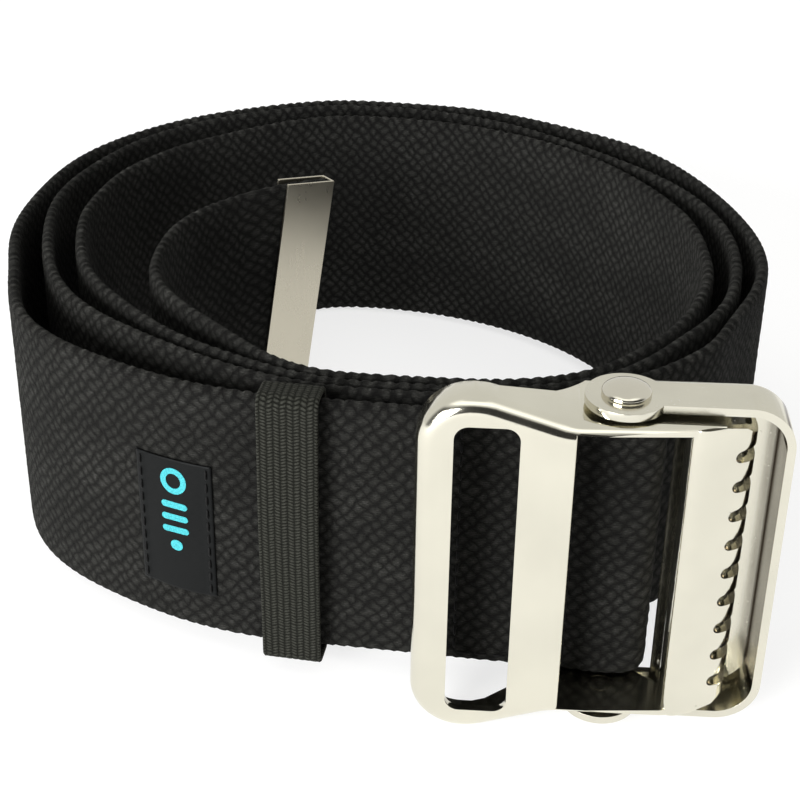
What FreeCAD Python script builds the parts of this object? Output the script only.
import FreeCAD, Part
import math
import os
import Sketcher

# Gait belt, rolled into a coil that stands on the edge of its webbing. +Z is up, the floor is Z = 0.
# The origin is at the middle of the footprint. The buckle is at the front, which is -Y.

os.makedirs("parts", exist_ok=True)
doc = FreeCAD.newDocument("gait_belt")
V = FreeCAD.Vector

# ---------------------------------------------------------------- driving dimensions, mm and degrees
DIMENSIONS = [
    ("strap_width", 51.0, "webbing width"),
    ("strap_thick", 2.4, "webbing thickness"),
    ("nest_pitch", 2.6, "from one turn to the next where they lie nested at the front"),
    ("shift_x", -0.45, "coil centre from the origin"),
    ("shift_y", 5.0, "coil centre from the origin"),
    ("seat_height", 7.0, "lower edge of the webbing above the floor, at the buckle"),
    ("seat_fall_x", 0.0185, "fall of the coil's lower edge along X"),
    ("seat_fall_y", 0.0354, "fall of the coil's lower edge along Y"),
    ("eye_x", 47.8, "centre of the sewn eye, from the coil centre"),
    ("eye_y", -76.4, "centre of the sewn eye"),
    ("eye_radius", 3.6, "middle line of the sewn eye"),
    ("nose_length", 14.0, "length of tail that noses down"),
    ("nose_angle", 10.0, "how far the very end noses down"),
    ("pivot_x", 44.6, "rivet axis from the coil centre"),
    ("pivot_y", -82.4, "rivet axis from the coil centre"),
    ("sheet_thick", 1.4, "buckle sheet metal"),
    ("lever_left", 33.0, "rivet axis to the lever's slot end"),
    ("lever_front", 8.0, "lever face ahead of the rivet axis"),
    ("lever_back", 7.5, "deepest edge of the lever's side flange"),
    ("end_half", 33.1, "half height of the lever's slot end"),
    ("side_half", 28.9, "half height over the lever's side flanges"),
    ("end_flange", -1.5, "back edge of the flange at the slot end"),
    ("slot_left", 26.9, "strap slot"),
    ("slot_right", 16.4, "strap slot"),
    ("slot_half", 28.4, "strap slot"),
    ("bar_right", 7.6, "right edge of the wide bar"),
    ("jaw_left", 10.1, "left edge of the toothed bar"),
    ("tooth_tip", 21.3, "tips of the teeth"),
    ("tooth_root", 17.7, "bottoms of the gaps between the teeth"),
    ("tooth_pitch", 5.65, "tooth to tooth"),
    ("tooth_gap", 2.2, "gap between two teeth"),
    ("tooth_gaps", 9, "number of gaps"),
    ("frame_right", 27.1, "rivet axis to the frame's end wall"),
    ("frame_front", 3.4, "front edge of the frame's side walls, ahead of the rivet axis"),
    ("frame_back", 6.7, "back of the frame"),
    ("frame_half", 31.1, "half height over the frame"),
    ("ear_radius", 6.6, "round ears"),
    ("frame_corner", 7.5, "rounded corners of the frame"),
    ("bar_from", 1.7, "crossbar that holds the sewn eye"),
    ("bar_to", 4.7, "crossbar"),
    ("plate_from", 12.5, "left edge of the frame's plate"),
    ("rivet_hole", 2.05, "radius of the rivet holes"),
    ("rivet_shank", 2.0, "radius of the rivet shanks"),
    ("rivet_head", 4.0, "radius of the rivet heads"),
    ("rivet_rim", 0.5, "straight rim of the rivet heads"),
    ("buckle_lift", 1.2, "middle of the buckle above the middle of the webbing"),
    ("rivet_dome", 1.4, "height of the dome over the rim"),
    ("tip_length", 12.5, "metal end tip along the webbing"),
    ("tip_sheet", 0.5, "metal end tip sheet"),
    ("tip_room", 1.55, "half gap inside the end tip"),
    ("keeper_width", 10.6, "elastic keeper along the webbing"),
    ("keeper_thick", 1.0, "elastic keeper"),
    ("keeper_front", 2.2, "slack in front of the webbing"),
    ("keeper_room", 0.5, "room behind the webbing"),
    ("keeper_over", 0.9, "room over and under the webbing"),
    ("keeper_x", -9.6, "middle of the keeper from the coil centre"),
    ("label_height", 27.4, "sewn label"),
    ("label_low", 8.4, "lower edge of the label above the webbing's edge"),
    ("label_thick", 0.4, "sewn label"),
]
sheet = doc.addObject("Spreadsheet::Sheet", "Dimensions")
for line, (name, value, note) in enumerate(DIMENSIONS, start=1):
    sheet.set("A%d" % line, name)
    sheet.set("B%d" % line, str(value))
    sheet.set("C%d" % line, note)
    sheet.setAlias("B%d" % line, name)
doc.recompute()


def dim(name):
    return float(sheet.get(name))


T = dim("strap_thick")
PITCH = dim("nest_pitch")
COIL = V(dim("shift_x"), dim("shift_y"), 0)
PIVOT = V(dim("pivot_x"), dim("pivot_y"), 0)
MID_Z = dim("seat_height") + dim("strap_width") / 2 + dim("buckle_lift")


def seat(x, y):
    """Height of the webbing's lower edge over the floor at a place of the coil."""
    across = dim("seat_fall_x") * (x - PIVOT.x)
    return dim("seat_height") + across - dim("seat_fall_y") * (y - PIVOT.y)


# ---------------------------------------------------------------- the way the webbing runs, seen from above
# It starts at the cut end of the fold-back, goes round the sewn eye and then winds inwards.
FOLD_BACK = [(16, -74.2), (22, -74.8), (30, -75.5), (37, -75.3), (42, -74.0), (45, -73.2)]
FIRST_TURN = [
    (43, -79.9), (37, -78.8), (28.5, -78), (13.5, -76.5), (0, -75.1), (-6, -74.5), (-16, -73.2),
    (-29, -69.5), (-43.5, -62), (-54, -54.5), (-62.5, -44.5), (-70, -22.5), (-74, -5.5),
    (-74, 17.5), (-70, 37), (-60.5, 53.5), (-48, 65.5), (-31.5, 74.5), (-16, 79), (-1, 78),
    (18.5, 74), (37, 64), (55, 49.5), (66.5, 30), (73, 10.5), (75.5, -11.5), (72.5, -26),
    (66.5, -40.5), (62, -50), (56.5, -56.5),
]
NEST = [(28, -71), (13, -71.3), (0, -70.4), (-6, -69.3)]
SECOND_TURN = [
    (-17, -65.5), (-28, -59.5), (-40, -51), (-51, -41.5), (-61, -26.5), (-67, -7.5),
    (-69.5, 16.5), (-65.5, 34), (-57.5, 50.5), (-46, 62.5), (-30.5, 71.5), (-15.5, 75.5),
    (-0.5, 74.5), (17, 69), (33, 58.5), (45, 47), (56.5, 34), (64.5, 21), (69, 7.5),
    (70.5, -3.5), (70, -16.5), (67.5, -29), (62.5, -40), (57, -48), (53, -53.5),
]
THIRD_TURN = [
    (-14, -63.5), (-24.5, -57.5), (-33, -51.5), (-44, -40), (-54.5, -25), (-60.5, -6),
    (-62, 5.5), (-61, 18), (-58.5, 29), (-54.5, 37), (-48.5, 45.5), (-41, 52.5), (-30, 61),
    (-15, 67.5), (-5, 67.5), (14.5, 63), (27, 57), (39, 48), (51, 33.5), (58.5, 19.5),
    (63, 6.5), (64.5, -6.5), (64.5, -17), (62, -29.5), (58, -40), (54, -47), (48.5, -54),
]
TAIL = [
    (-16.5, -58), (-24.5, -49.5), (-30.3, -43), (-35.4, -36.9), (-40.2, -28.8), (-42.5, -21.5),
    (-43, -13), (-42.1, -3.5), (-39.8, 3.8), (-36, 10), (-31.8, 14.8), (-28.1, 18.3), (-24.5, 21.7),
    (-20.8, 25.1),
]


def nest(turn):
    """The flat front stretch of a turn, each turn lying just inside the one before."""
    return [(x, y + PITCH * turn) for x, y in NEST]


def eye():
    """The half circle round the frame's crossbar."""
    points = []
    for step in range(7):
        a = math.radians(90 - 30 * step)
        x = dim("eye_x") + dim("eye_radius") * math.cos(a)
        points.append((x, dim("eye_y") + dim("eye_radius") * math.sin(a)))
    return points


ROUTE = FOLD_BACK + eye() + FIRST_TURN + [(43, -66.5)] + nest(0) + SECOND_TURN
ROUTE += [(43, -63.1)] + nest(1) + THIRD_TURN + [(43, -59.7)] + nest(2) + TAIL
middle = Part.BSplineCurve()
middle.interpolate([V(x, y, 0) for x, y in ROUTE])
LENGTH = middle.length()


def at(s):
    """Place and unit direction on the middle line, s mm from the start."""
    u = middle.parameterAtDistance(s, middle.FirstParameter)
    t = middle.tangent(u)[0]
    return middle.value(u), t


def stations(first, last):
    """Distances along the webbing, closer together round the eye."""
    places = [first]
    while places[-1] < last - 0.01:
        step = 1.0 if places[-1] < 70 else 4.0
        places.append(min(places[-1] + step, last))
    return places


def nose(s):
    """Drop and angle of the tail near its end."""
    past = max(0.0, s - (LENGTH - dim("nose_length")))
    angle = math.radians(dim("nose_angle")) * past / dim("nose_length")
    return math.tan(math.radians(dim("nose_angle"))) * past ** 2 / (2 * dim("nose_length")), angle


def band(first, last, inner, outer, low, high):
    """A solid that follows the webbing, between two offsets to its outer side and two heights.

    Its four long edges share one set of parameters and are cut in short spans of ten stations.
    """
    places = stations(first, last)
    curves = []
    for off, height in ((inner, low), (outer, low), (outer, high), (inner, high)):
        points = []
        for s in places:
            p, t = at(s)
            n = V(-t.y, t.x, 0)
            drop, angle = nose(s)
            q = p + n * off + t * (height * math.sin(angle))
            q.z = seat(p.x, p.y) - drop + height * math.cos(angle)
            points.append(q)
        curve = Part.BSplineCurve()
        curve.interpolate(Points=points, Parameters=places)
        curves.append(curve)
    cuts = places[:1] + places[10:-5:10] + places[-1:]
    faces = []
    for begin, end in zip(cuts, cuts[1:]):
        edges = [curve.toShape(begin, end) for curve in curves]
        for k in range(4):
            faces.append(Part.makeRuledSurface(edges[k], edges[(k + 1) % 4]))
    for end in (places[0], places[-1]):
        corners = [curve.value(end) for curve in curves]
        faces.append(Part.Face(Part.makePolygon(corners + corners[:1])))
    sewn = Part.Compound(faces)
    sewn.sewShape()
    solid = Part.makeSolid(Part.Shell(sewn.Faces))
    if solid.Volume < 0:
        solid.reverse()
    return solid


nodes = []


def keep_shape(name, shape, place):
    thing = doc.addObject("Part::Feature", name)
    thing.Shape = shape
    thing.Label = name
    thing.Placement = FreeCAD.Placement(place, FreeCAD.Rotation())
    nodes.append(thing)
    return thing


keep_shape("strap_webbing", band(0, LENGTH, -T / 2, T / 2, 0, dim("strap_width")), COIL)
EYE_END = middle.length(middle.FirstParameter, middle.parameter(V(43, -79.9, 0)))


def along(x):
    """Distance along the webbing to a given X on the front of the first turn."""
    low, high = EYE_END, EYE_END + 110
    while high - low > 0.01:
        half = (low + high) / 2
        if at(half)[0].x > x:
            low = half
        else:
            high = half
    return low


# ---------------------------------------------------------------- label with its two rows of stitches
LABEL_FROM, LABEL_TO = along(-23.6), along(-37.4)
low = dim("label_low")
label_out = T / 2 + dim("label_thick")
keep_shape("label", band(LABEL_FROM, LABEL_TO, T / 2, label_out, low, low + dim("label_height")), COIL)


def stitch(s, height, length, upright, off):
    """One short thread lying on a face that follows the webbing."""
    p, t = at(s)
    out = V(-t.y, t.x, 0)
    size = (0.5, 0.3, length) if upright else (length, 0.3, 0.5)
    block = Part.makeBox(size[0], size[1], size[2], V(-size[0] / 2, -size[1], -size[2] / 2))
    turn = FreeCAD.Rotation(V(0, -1, 0), out)
    spot = p + out * (off + 0.03)
    spot.z = seat(p.x, p.y) + height
    block.Placement = FreeCAD.Placement(spot, turn)
    return block


threads = []
for s in (LABEL_FROM + 0.9, LABEL_TO - 0.9):
    for step in range(10):
        threads.append(stitch(s, low + 1.6 + 2.68 * step, 1.9, True, label_out))
keep_shape("label_stitches", Part.Compound(threads), COIL)

# ---------------------------------------------------------------- stitched box that closes the sewn eye
threads = []
BOX_FROM, BOX_TO = along(38.0), along(19.0)
count = 17
for step in range(count):
    for s in (BOX_FROM, BOX_TO):
        threads.append(stitch(s, 2.5 + 46.0 * (step + 0.5) / count, 1.9, True, T / 2))
for step in range(6):
    s = BOX_FROM + (BOX_TO - BOX_FROM) * (step + 0.5) / 6
    for height in (2.0, 49.0):
        threads.append(stitch(s, height, 2.1, False, T / 2))
keep_shape("eye_stitches", Part.Compound(threads), COIL)


# ---------------------------------------------------------------- metal end tip
def bind(thing, **sizes):
    for key, text in sizes.items():
        thing.setExpression(key, text)


def cut_box(name, big, hole):
    """A box with a box taken out of it. Each is length, width, height and the corner, as formulas."""
    parts = []
    for suffix, box in (("_outer", big), ("_room", hole)):
        thing = doc.addObject("Part::Box", name + suffix)
        bind(thing, Length=box[0], Width=box[1], Height=box[2])
        for key, text in zip(("x", "y", "z"), box[3:]):
            thing.setExpression("Placement.Base." + key, text)
        parts.append(thing)
    cut = doc.addObject("Part::Cut", name)
    cut.Base, cut.Tool = parts
    cut.Label = name
    nodes.append(cut)
    return cut


D = "Dimensions."
tip = cut_box(
    "end_tip",
    [D + "tip_length", "2 * (%stip_room + %stip_sheet)" % (D, D), D + "strap_width + 0.4",
     "0.6 - %stip_length" % D, "-%stip_room - %stip_sheet" % (D, D), "-0.2"],
    [D + "tip_length - %stip_sheet + 1" % D, "2 * %stip_room" % D, D + "strap_width + 4",
     "-0.4 - %stip_length" % D, "-%stip_room" % D, "-2"],
)
end, t = at(LENGTH)
drop, angle = nose(LENGTH)
end.z = seat(end.x, end.y) - drop
turn = FreeCAD.Rotation(V(0, 0, 1), math.degrees(math.atan2(t.y, t.x)))
lean = FreeCAD.Rotation(V(0, 1, 0), math.degrees(angle))
tip.Placement = FreeCAD.Placement(end + COIL, turn.multiply(lean))

# ---------------------------------------------------------------- elastic keeper loop
keeper = cut_box(
    "keeper_loop",
    [D + "keeper_width",
     D + "strap_thick + {0}keeper_front + {0}keeper_room + 2 * {0}keeper_thick".format(D),
     D + "strap_width + 2 * {0}keeper_over + 2 * {0}keeper_thick".format(D),
     "-%skeeper_width / 2" % D,
     "-%sstrap_thick / 2 - %skeeper_front - %skeeper_thick" % (D, D, D),
     "-%skeeper_over - %skeeper_thick" % (D, D)],
    [D + "keeper_width + 4",
     D + "strap_thick + {0}keeper_front + {0}keeper_room".format(D),
     D + "strap_width + 2 * %skeeper_over" % D,
     "-%skeeper_width / 2 - 2" % D,
     "-%sstrap_thick / 2 - %skeeper_front" % (D, D),
     "-%skeeper_over" % D],
)
spot, t = at(along(dim("keeper_x")))
spot.z = seat(spot.x, spot.y)
KEEPER_ANGLE = math.degrees(math.atan2(-t.y, -t.x))
keeper.Placement = FreeCAD.Placement(spot + COIL, FreeCAD.Rotation(V(0, 0, 1), KEEPER_ANGLE))


# ---------------------------------------------------------------- sheet metal bodies
def new_body(name):
    body = doc.addObject("PartDesign::Body", name)
    body.Label = name
    body.Placement = FreeCAD.Placement(PIVOT + COIL + V(0, 0, MID_Z), FreeCAD.Rotation())
    nodes.append(body)
    return body


def new_sketch(body, name, plane, offset=0.0):
    """plane XY looks down on the buckle, plane XZ is its face; offset is along the plane's normal."""
    sk = body.newObject("Sketcher::SketchObject", name)
    role = plane + "_Plane"
    origin = [f for f in body.Origin.OriginFeatures if f.Role == role][0]
    sk.AttachmentSupport = [(origin, "")]
    sk.MapMode = "FlatFace"
    sk.AttachmentOffset = FreeCAD.Placement(V(0, 0, offset), FreeCAD.Rotation())
    return sk


def polygon(sk, points):
    """A closed outline with its corners joined and held in place by distances from the sheet."""
    first = sk.GeometryCount
    count = len(points)
    for i in range(count):
        a, b = points[i], points[(i + 1) % count]
        sk.addGeometry(Part.LineSegment(V(a[0], a[1], 0), V(b[0], b[1], 0)), False)
    for i in range(count):
        sk.addConstraint(Sketcher.Constraint("Coincident", first + i, 2, first + (i + 1) % count, 1))


def rounded(sk, points):
    """A closed outline of straight lines whose corners have a radius: each point is x, y, radius."""
    pieces = []
    count = len(points)
    for i in range(count):
        p, q = V(*points[i][:2], 0), V(*points[(i + 1) % count][:2], 0)
        o, r = V(*points[i - 1][:2], 0), points[i][2]
        back, ahead = (o - p).normalize(), (q - p).normalize()
        reach = r / math.tan(back.getAngle(ahead) / 2) if r else 0.0
        pieces.append((p, back, ahead, r, reach))
    first = sk.GeometryCount
    ends = []
    for p, back, ahead, r, reach in pieces:
        a, b = p + back * reach, p + ahead * reach
        if r:
            inward = (back + ahead).normalize()
            centre = p + inward * math.hypot(r, reach)
            arc = Part.Arc(a, centre - inward * r, b)
            ends.append((a, b, arc))
        else:
            ends.append((a, b, None))
    for i in range(count):
        a, b, arc = ends[i]
        if arc:
            sk.addGeometry(arc, False)
        sk.addGeometry(Part.LineSegment(b, ends[(i + 1) % count][0]), False)
    return first


def hold(sk, line, end, axis, name, text):
    """Ties one corner's distance from the rivet axis to a size of the sheet."""
    kind = "DistanceX" if axis == "x" else "DistanceY"
    point = sk.getPoint(line, end)
    value = point.x if axis == "x" else point.y
    index = sk.addConstraint(Sketcher.Constraint(kind, -1, 1, line, end, value))
    sk.renameConstraint(index, name)
    sk.setExpression("Constraints." + name, text)


def pad(body, sk, name, length, both=False, back=False):
    f = body.newObject("PartDesign::Pad", name)
    f.Profile = sk
    f.setExpression("Length", length)
    f.Midplane = both
    f.Reversed = back
    doc.recompute()
    return f


def pocket(body, sk, name, length, both=False, back=False):
    before = body.Shape.Volume
    f = body.newObject("PartDesign::Pocket", name)
    f.Profile = sk
    f.setExpression("Length", length)
    f.Midplane = both
    f.Reversed = back
    doc.recompute()
    if body.Shape.Volume > before - 0.01:
        f.Reversed = not back
        doc.recompute()
    return f


def fillet(body, name, radius, wanted):
    """Rounds the edges for which wanted(edge) is true."""
    base = body.Tip
    picked = ["Edge%d" % i for i, e in enumerate(base.Shape.Edges, start=1) if wanted(e)]
    f = body.newObject("PartDesign::Fillet", name)
    f.Base = (base, picked)
    f.Radius = radius
    doc.recompute()
    if f.Shape.isNull() or not f.Shape.isValid() or "Invalid" in f.State:
        raise RuntimeError("fillet " + name + " failed on %d edges" % len(picked))
    return f


def runs(edge, axis):
    """True for a straight edge along the axis."""
    if edge.Curve.TypeId != "Part::GeomLine":
        return False
    return abs(edge.tangentAt(edge.FirstParameter).dot(axis)) > 0.999


def mid(edge):
    return edge.BoundBox.Center


# ---- toothed lever: slot end, wide bar, side flanges and toothed jaw, bent from one sheet
lever = new_body("toothed_lever")
L, F, B = dim("lever_left"), dim("lever_front"), dim("lever_back")
EH, SH, TH = dim("end_half"), dim("side_half"), dim("sheet_thick")
sk = new_sketch(lever, "lever_outline", "XZ", F)
polygon(sk, [(-L, -EH), (-22, -EH), (-9, -SH), (16.5, -SH), (16.5, SH), (-9, SH), (-22, EH), (-L, EH)])
for line, half in ((0, "end_half"), (2, "side_half")):
    hold(sk, line, 1, "y", "low%d" % line, "-Dimensions." + half)
hold(sk, 0, 1, "x", "left", "-Dimensions.lever_left")
pad(lever, sk, "lever_block", D + "lever_front + %slever_back" % D, back=True)
fillet(lever, "lever_corners", 9.0, lambda e: runs(e, V(0, 1, 0)) and mid(e).x < -L + 0.1)
fillet(lever, "lever_shoulders", 12.0, lambda e: runs(e, V(0, 1, 0)) and -23 < mid(e).x < -8)

sk = new_sketch(lever, "lever_inside", "XZ", -B)
IE, IS = EH - TH, SH - TH
IC = 9.0 - TH
rounded(sk, [(-L + TH, -IE, IC), (-22.2, -IE, 0), (-9.2, -IS, 0), (18, -IS, 0), (18, IS, 0), (-9.2, IS, 0),
             (-22.2, IE, 0), (-L + TH, IE, IC)])
pocket(lever, sk, "lever_hollow", D + "lever_back + %slever_front - %ssheet_thick" % (D, D))


def front_edge(e):
    box = e.BoundBox
    flat = abs(box.YMin + F) < 0.01 and abs(box.YMax + F) < 0.01
    return flat and box.XMax < 16.4


fillet(lever, "lever_bend", 2.8, front_edge)


def inner_front_edge(e):
    box = e.BoundBox
    flat = abs(box.YMin + F - TH) < 0.01 and abs(box.YMax + F - TH) < 0.01
    return flat and box.XMax < 16.4


fillet(lever, "lever_inner_bend", 1.4, inner_front_edge)

sk = new_sketch(lever, "lever_back_line", "XY")
EF = dim("end_flange")
polygon(sk, [(-40, EF), (-20, EF), (-11, 2.6), (-6.5, B - 0.5), (-5.5, B + 1), (-40, B + 1)])
hold(sk, 0, 1, "y", "edge", D + "end_flange")
pocket(lever, sk, "lever_shallow_end", "80", both=True)
sk = new_sketch(lever, "lever_slot", "XZ", F + 1)
SL, SR, SS = dim("slot_left"), dim("slot_right"), dim("slot_half")
SC = 2.4
rounded(sk, [(-SL, -SS, SC), (-SR, -SS, SC), (-SR, SS, SC), (-SL, SS, SC)])
pocket(lever, sk, "lever_slot_cut", D + "sheet_thick + 2")

sk = new_sketch(lever, "lever_window", "XZ", F + 1)
polygon(sk, [(-dim("bar_right"), -IS), (18, -IS), (18, IS), (-dim("bar_right"), IS)])
hold(sk, 0, 1, "x", "left", "-%sbar_right" % D)
pocket(lever, sk, "lever_window_cut", D + "sheet_thick + 2")

sk = new_sketch(lever, "lever_front_line", "XY")
polygon(sk, [(-2.5, B + 1), (-1.2, 4.8), (5.5, 4.4), (10, 0.5), (18, -2.4), (18, B + 1)])
G = dim("bar_right") - 0.1
polygon(sk, [(-G, -F), (10, 1.4 - F), (17, 3.2 - F), (17, -F - 1), (-G, -F - 1)])
pocket(lever, sk, "lever_jaw_side", "80", both=True)
fillet(lever, "bar_edge", 0.4,
       lambda e: runs(e, V(0, 0, 1)) and abs(mid(e).x + dim("bar_right")) < 0.02 and abs(mid(e).y + F) < 0.02)

# the jaw: a wall, a rounded bend, a gentle slope and teeth that curl back
J, TIP = dim("jaw_left"), dim("tooth_tip")
sk = new_sketch(lever, "jaw_profile", "XY")
FACE = [(J - 1.2, 3.4), (J - 0.4, -3.4), (J - 0.1, -5.2), (J + 0.7, -6.2), (J + 2.0, -6.5),
        (J + 3.8, -6.0), (J + 7.6, -4.3), (TIP - 1.8, -3.4), (TIP - 0.6, -2.2), (TIP - 0.1, -0.6),
        (TIP, 1.4), (TIP - 0.4, 4.8)]
BACK = [(TIP - 1.4, 4.8), (TIP - 1.1, 1.4), (TIP - 1.2, -0.4), (TIP - 1.7, -1.5), (TIP - 2.5, -2.3),
        (J + 7.2, -3.2), (J + 3.5, -4.9), (J + 2.0, -5.3), (J + 1.3, -5.0), (J + 1.0, -4.3),
        (J + 0.7, -3.2), (J - 0.1, 3.4)]
for line in (FACE, BACK):
    curve = Part.BSplineCurve()
    curve.interpolate([V(x, y, 0) for x, y in line])
    sk.addGeometry(curve)
for here, there in ((FACE[-1], BACK[0]), (BACK[-1], FACE[0])):
    sk.addGeometry(Part.LineSegment(V(*here, 0), V(*there, 0)))
pad(lever, sk, "jaw", "2 * %sside_half - 0.6" % D, both=True)
sk = new_sketch(lever, "jaw_corners", "XZ", F + 1)
for side in (1, -1):
    polygon(sk, [(15.5, side * (SH + 1)), (15.5, side * (SH - 0.3)), (19.0, side * (SH - 1.1)),
                 (TIP + 1, side * (SH - 3.8)), (TIP + 1, side * (SH + 1))])
pocket(lever, sk, "jaw_corner_cut", "20")

PG, N = dim("tooth_pitch"), int(dim("tooth_gaps"))
ROOT, GAP = dim("tooth_root"), dim("tooth_gap")
sk = new_sketch(lever, "tooth_gaps", "XZ", F + 1)
for i in range(N):
    z = (i - (N - 1) / 2) * PG
    r = GAP / 2
    base = sk.GeometryCount
    root = Part.Circle(V(ROOT + r, z, 0), V(0, 0, 1), r)
    sk.addGeometry(Part.ArcOfCircle(root, math.pi / 2, 1.5 * math.pi))
    sk.addGeometry(Part.LineSegment(V(ROOT + r, z - r, 0), V(TIP + 2, z - r - 0.4, 0)))
    sk.addGeometry(Part.LineSegment(V(TIP + 2, z - r - 0.4, 0), V(TIP + 2, z + r + 0.4, 0)))
    sk.addGeometry(Part.LineSegment(V(TIP + 2, z + r + 0.4, 0), V(ROOT + r, z + r, 0)))
    for a in range(4):
        b = (a + 1) % 4
        sk.addConstraint(Sketcher.Constraint("Coincident", base + a, 2, base + b, 1))
pocket(lever, sk, "teeth", "20")

sk = new_sketch(lever, "lever_rivet_holes", "XY")
sk.addGeometry(Part.Circle(V(0, 0, 0), V(0, 0, 1), dim("rivet_hole")), False)
sk.addConstraint(Sketcher.Constraint("Coincident", 0, 3, -1, 1))
sk.addConstraint(Sketcher.Constraint("Radius", 0, dim("rivet_hole")))
sk.setExpression("Constraints[1]", D + "rivet_hole")
pocket(lever, sk, "lever_holes", "80", both=True)

# ---- buckle frame: end wall, side walls with ears, plate under the teeth and the crossbar
frame = new_body("buckle_frame")
R, FF, FB, FH = dim("frame_right"), dim("frame_front"), dim("frame_back"), dim("frame_half")
sk = new_sketch(frame, "frame_side", "XY")
polygon(sk, [(0, -FF), (R, -FF), (R, FB), (0, FB)])
hold(sk, 1, 1, "x", "right", D + "frame_right")
hold(sk, 2, 1, "y", "back", D + "frame_back")
hold(sk, 0, 1, "y", "front", "-%sframe_front" % D)
pad(frame, sk, "frame_block", "2 * %sframe_half" % D, both=True)
fillet(frame, "frame_corners", dim("frame_corner"),
       lambda e: runs(e, V(0, 1, 0)) and mid(e).x > R - 0.1)
fillet(frame, "frame_bend", 2.6,
       lambda e: abs(e.BoundBox.YMin - FB) < 0.01 and e.BoundBox.XMin > 0.5)
sk = new_sketch(frame, "frame_ear", "XY")
sk.addGeometry(Part.Circle(V(0, 0, 0), V(0, 0, 1), dim("ear_radius")), False)
sk.addConstraint(Sketcher.Constraint("Coincident", 0, 3, -1, 1))
sk.addConstraint(Sketcher.Constraint("Radius", 0, dim("ear_radius")))
sk.setExpression("Constraints[1]", D + "ear_radius")
pad(frame, sk, "ears", "2 * %sframe_half" % D, both=True)

sk = new_sketch(frame, "frame_inside", "XZ", 9)
IH, IC = FH - TH, dim("frame_corner") - TH
rounded(sk, [(-12, -IH, 0), (R - TH, -IH, IC), (R - TH, IH, IC), (-12, IH, 0)])
pocket(frame, sk, "frame_hollow", "9 + %sframe_back - %ssheet_thick" % (D, D))

sk = new_sketch(frame, "frame_windows", "XZ", 0)
P0, C0, C1 = dim("plate_from"), dim("bar_from"), dim("bar_to")
polygon(sk, [(C1, -IH + 0.8), (P0, -IH + 0.8), (P0, IH - 0.8), (C1, IH - 0.8)])
polygon(sk, [(-14, -IH), (C0, -IH), (C0, IH), (-14, IH)])
hold(sk, 0, 1, "x", "bar_to", D + "bar_to")
hold(sk, 1, 1, "x", "plate", D + "plate_from")
hold(sk, 5, 1, "x", "bar_from", D + "bar_from")
pocket(frame, sk, "frame_window_cut", "30", both=True)
sk = new_sketch(frame, "frame_rivet_holes", "XY")
sk.addGeometry(Part.Circle(V(0, 0, 0), V(0, 0, 1), dim("rivet_hole")), False)
sk.addConstraint(Sketcher.Constraint("Coincident", 0, 3, -1, 1))
sk.addConstraint(Sketcher.Constraint("Radius", 0, dim("rivet_hole")))
sk.setExpression("Constraints[1]", D + "rivet_hole")
pocket(frame, sk, "frame_holes", "80", both=True)

# ---------------------------------------------------------------- the two rivets
for name, flip in (("upper_rivet", 0), ("lower_rivet", 180)):
    shank = doc.addObject("Part::Cylinder", name + "_shank")
    bind(shank, Radius=D + "rivet_shank", Height="%sframe_half - %sside_half + %ssheet_thick" % (D, D, D))
    shank.setExpression("Placement.Base.z", "%sside_half - %ssheet_thick" % (D, D))
    rim = doc.addObject("Part::Cylinder", name + "_rim")
    bind(rim, Radius=D + "rivet_head", Height=D + "rivet_rim")
    rim.setExpression("Placement.Base.z", D + "frame_half")
    dome = doc.addObject("Part::Ellipsoid", name + "_dome")
    bind(dome, Radius1=D + "rivet_dome", Radius2=D + "rivet_head", Radius3=D + "rivet_head")
    dome.Angle1, dome.Angle2 = 0, 90
    dome.setExpression("Placement.Base.z", "%sframe_half + %srivet_rim" % (D, D))
    whole = doc.addObject("Part::MultiFuse", name)
    whole.Shapes = [shank, rim, dome]
    whole.Label = name
    place = PIVOT + COIL + V(0, 0, MID_Z)
    whole.Placement = FreeCAD.Placement(place, FreeCAD.Rotation(V(1, 0, 0), flip))
    nodes.append(whole)

doc.recompute()

# ---------------------------------------------------------------- check and write
for thing in doc.Objects:
    if "Invalid" in thing.State or "Error" in thing.State:
        raise RuntimeError("%s is %s" % (thing.Name, thing.State))
everything = FreeCAD.BoundBox()
for node in nodes:
    shape = node.Shape
    if shape.isNull() or not shape.isValid() or shape.Volume <= 0:
        raise RuntimeError("%s has no good shape" % node.Label)
    everything.add(shape.BoundBox)
    box = shape.BoundBox
    print("%-16s %8.1f mm3  x %6.1f %6.1f  y %6.1f %6.1f  z %5.2f %5.2f" % (
        node.Label, shape.Volume, box.XMin, box.XMax, box.YMin, box.YMax, box.ZMin, box.ZMax))
    shape.exportStep("parts/%s.step" % node.Label)
print("belt length %.0f mm, keeper at %.2f degrees" % (LENGTH, KEEPER_ANGLE))
print("whole: x %.2f %.2f  y %.2f %.2f  z %.2f %.2f" % (
    everything.XMin, everything.XMax, everything.YMin, everything.YMax, everything.ZMin, everything.ZMax))
